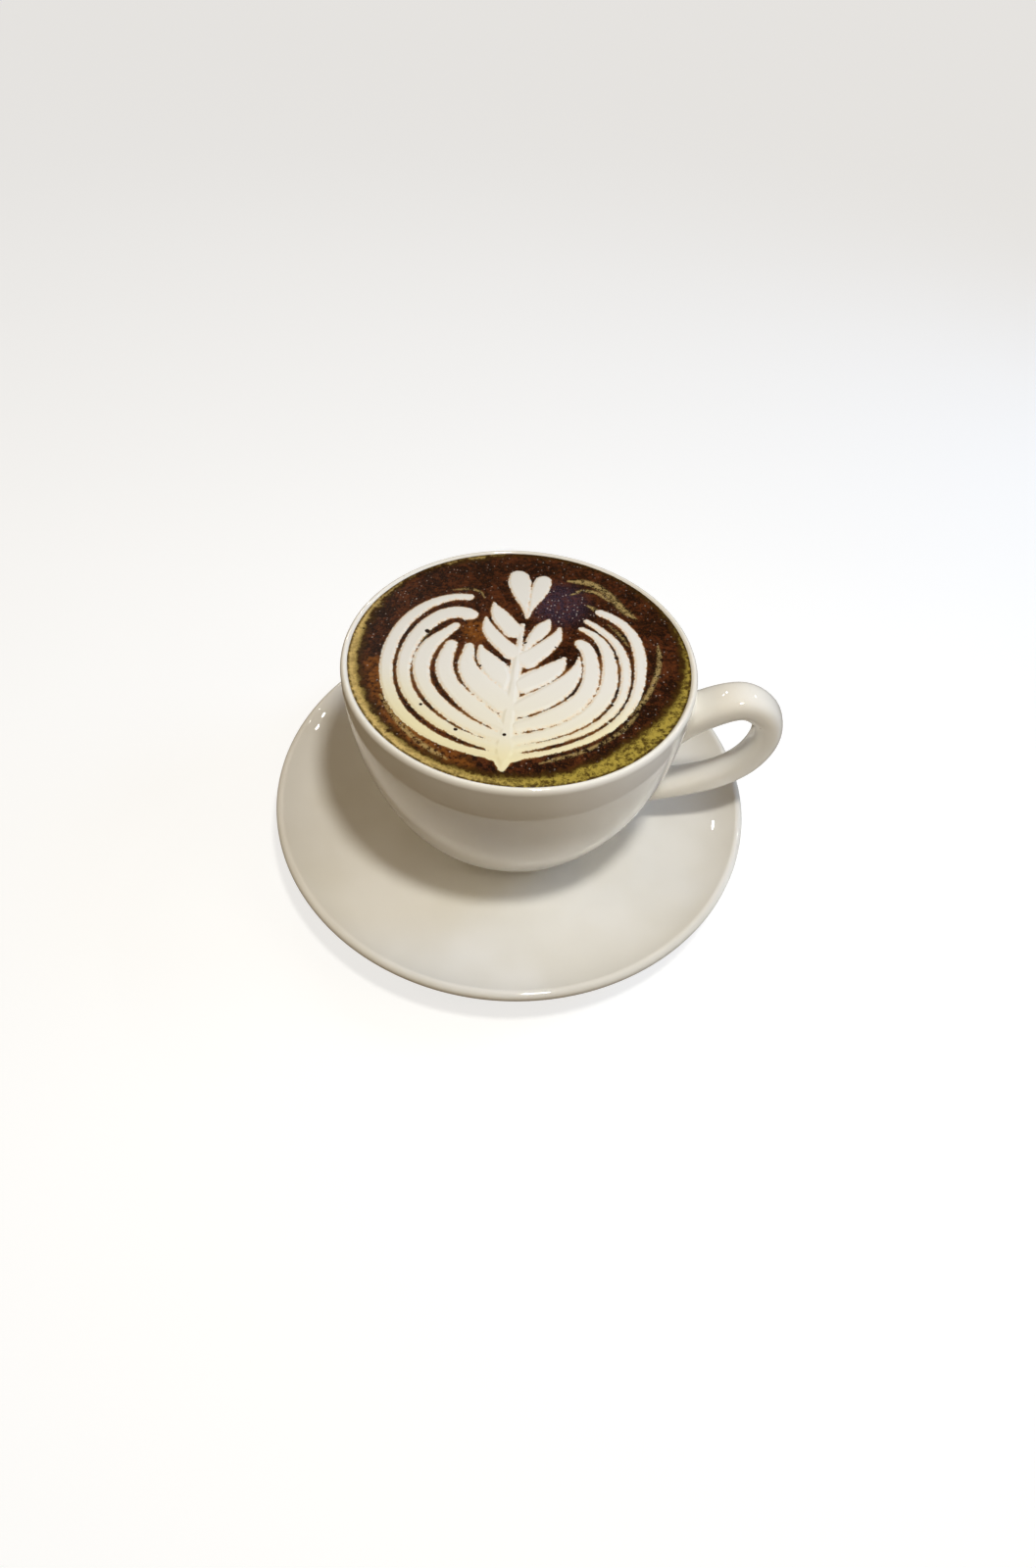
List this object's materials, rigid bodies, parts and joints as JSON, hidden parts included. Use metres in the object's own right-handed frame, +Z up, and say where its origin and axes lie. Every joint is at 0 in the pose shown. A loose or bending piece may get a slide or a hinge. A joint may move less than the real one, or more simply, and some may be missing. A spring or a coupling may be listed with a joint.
{
  "type": "cup of caffe mocha on a saucer",
  "caption": "White glazed porcelain latte cup with an ear handle, filled with caffe mocha that carries a poured milk rosetta and heart, standing on its coupe saucer.",
  "frame": {"origin": "centre of the saucer's foot ring on the surface that it stands on, under the middle of the cup", "axes": "+Z up, +X out through the cup's handle, the drinker on the -Y side"},
  "size_m": [0.1564, 0.1564, 0.0709],
  "materials": {
    "saucer_glaze": "gloss white glaze, faintly warm",
    "cup_glaze": "gloss white glaze, faintly warm",
    "mocha": "dark chocolate drink with cocoa specks, an olive crema edge and white milk foam art"
  },
  "bodies": {
    "root": {"saucer": "saucer_glaze", "cup": "cup_glaze", "mocha": "mocha"}
  },
  "joints": []
}
